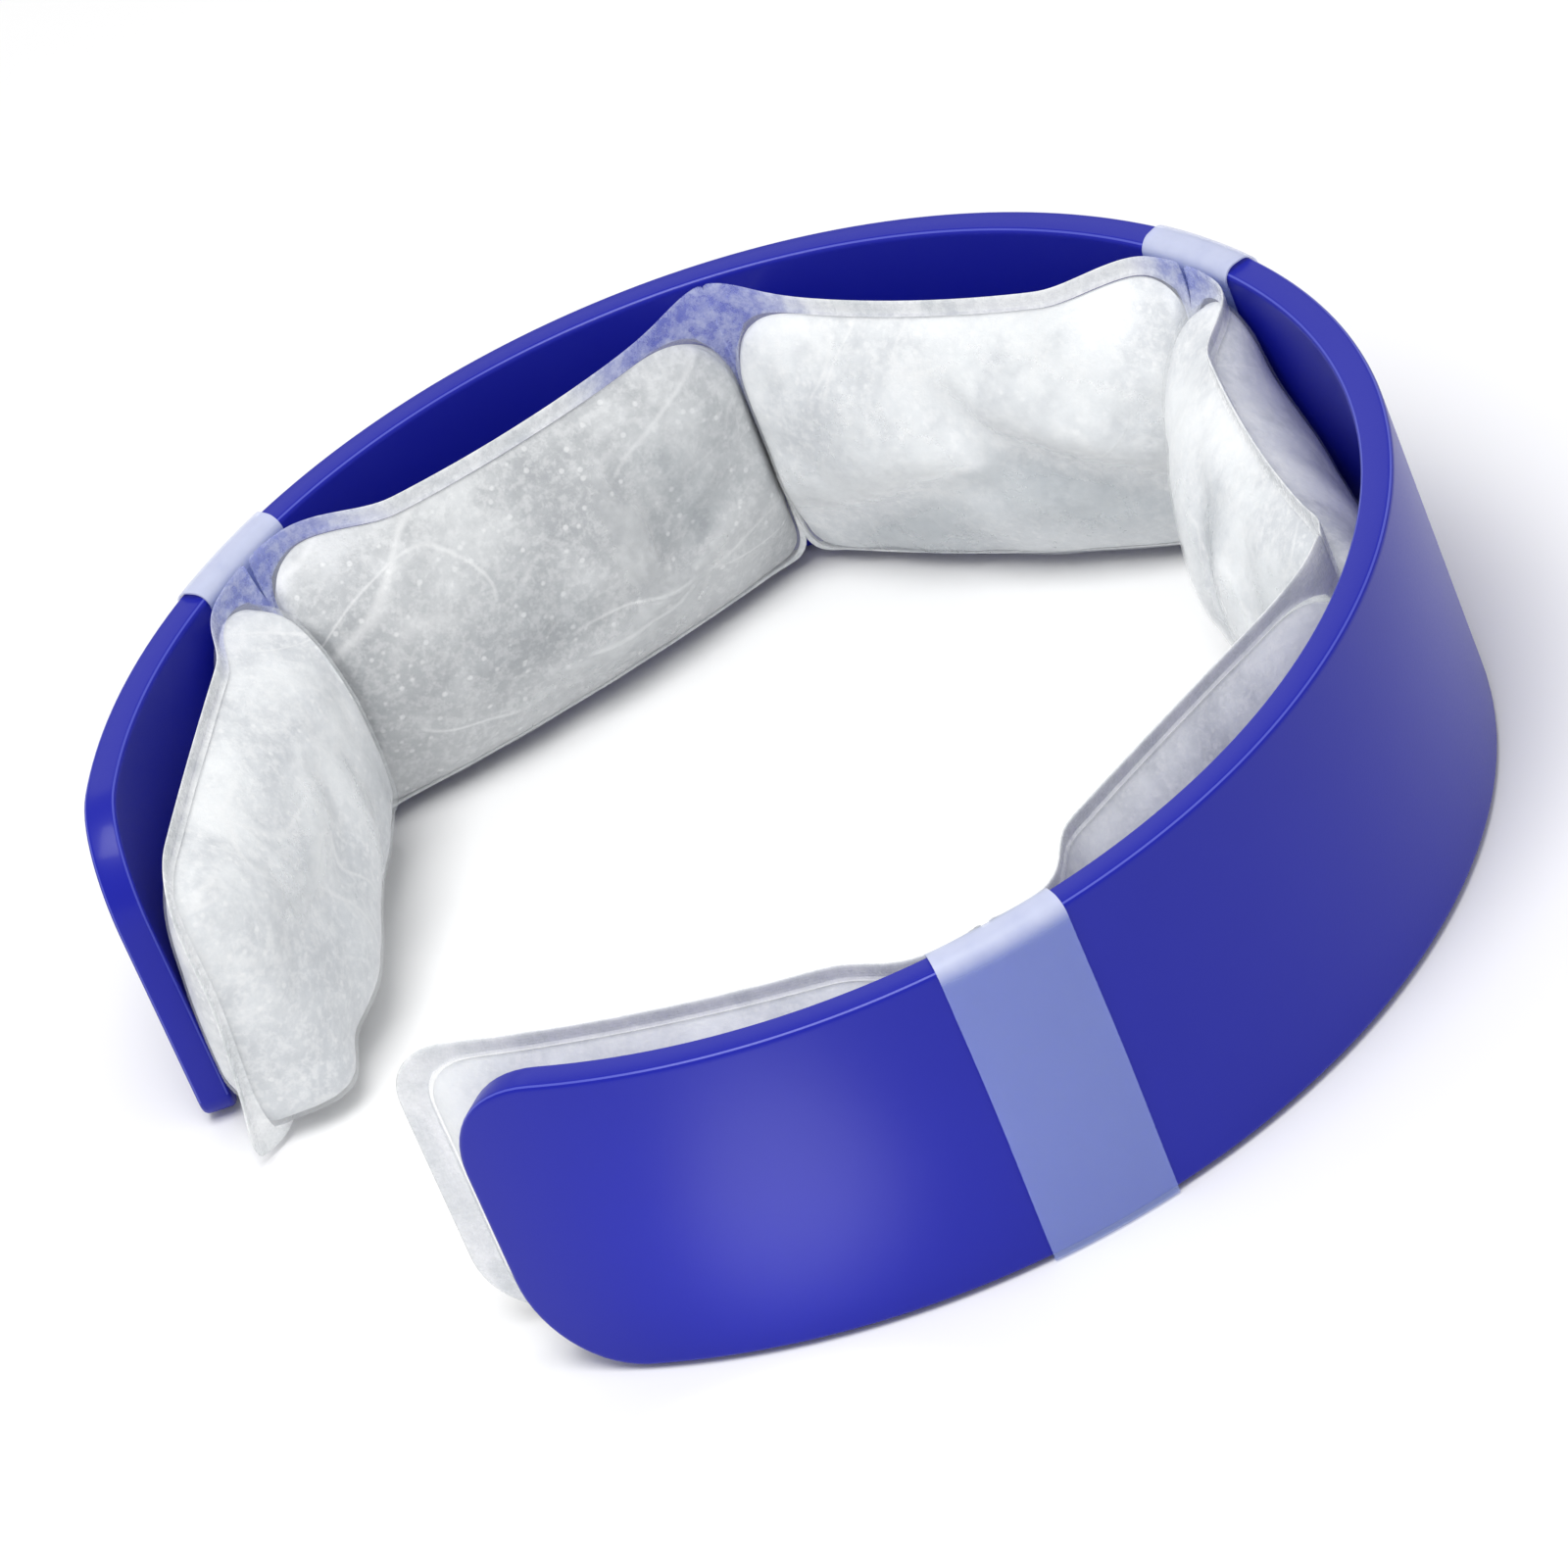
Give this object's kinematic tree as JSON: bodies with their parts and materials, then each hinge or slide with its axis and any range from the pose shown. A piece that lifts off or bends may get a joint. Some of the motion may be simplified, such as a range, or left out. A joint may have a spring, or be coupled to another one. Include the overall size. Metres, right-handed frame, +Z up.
{
  "type": "head cooling band",
  "caption": "Springy C-shaped headband carrying a strip of frosted gel cells on its inside, held by translucent film loops.",
  "frame": {"origin": "on the surface that the part stands on, under the middle of its outline", "axes": "+Z up along the band's own axis, +Y towards the closed back of the C, -Y towards its opening, +X to the wearer's side that is right in a view along +Y"},
  "size_m": [0.2003, 0.1884, 0.0536],
  "materials": {
    "band": "satin moulded plastic, slightly glossy on the bevelled edges",
    "loop_film": "thin translucent frosted film",
    "pack_film": "soft translucent frosted film with fine wrinkles",
    "gel": "cloudy half-frozen gel"
  },
  "bodies": {
    "back": {"band_back": "band", "film_loop_back": "loop_film", "cell_3_skin_film": "pack_film", "cell_3_band_film": "pack_film", "cell_3_gel": "gel", "cell_4_skin_film": "pack_film", "cell_4_band_film": "pack_film", "cell_4_gel": "gel"},
    "left_arm": {"band_left_arm": "band", "film_loop_left": "loop_film", "cell_2_skin_film": "pack_film", "cell_2_band_film": "pack_film", "cell_2_gel": "gel"},
    "right_arm": {"band_right_arm": "band", "film_loop_right": "loop_film", "cell_5_skin_film": "pack_film", "cell_5_band_film": "pack_film", "cell_5_gel": "gel"},
    "left_end_cell": {"cell_1_skin_film": "pack_film", "cell_1_band_film": "pack_film", "cell_1_gel": "gel"},
    "right_end_cell": {"cell_6_skin_film": "pack_film", "cell_6_band_film": "pack_film", "cell_6_gel": "gel"}
  },
  "joints": [
    {"name": "left_arm_flex", "type": "hinge", "parent": "back", "child": "left_arm", "pos_m": [-0.08434, 0.04714, 0.0268], "axis": [0, 0, -1], "range_deg": [-4, 12], "stiffness_Nm_per_rad": 3.5},
    {"name": "right_arm_flex", "type": "hinge", "parent": "back", "child": "right_arm", "pos_m": [0.07314, 0.06162, 0.0268], "axis": [0, 0, 1], "range_deg": [-4, 12], "stiffness_Nm_per_rad": 3.5},
    {"name": "left_end_cell_swing", "type": "hinge", "parent": "left_arm", "child": "left_end_cell", "pos_m": [-0.08729, -0.0381, 0.02755], "axis": [0, 0, 1], "range_deg": [0, 35]},
    {"name": "right_end_cell_swing", "type": "hinge", "parent": "right_arm", "child": "right_end_cell", "pos_m": [0.09089, -0.02532, 0.02755], "axis": [0, 0, -1], "range_deg": [0, 35]}
  ]
}
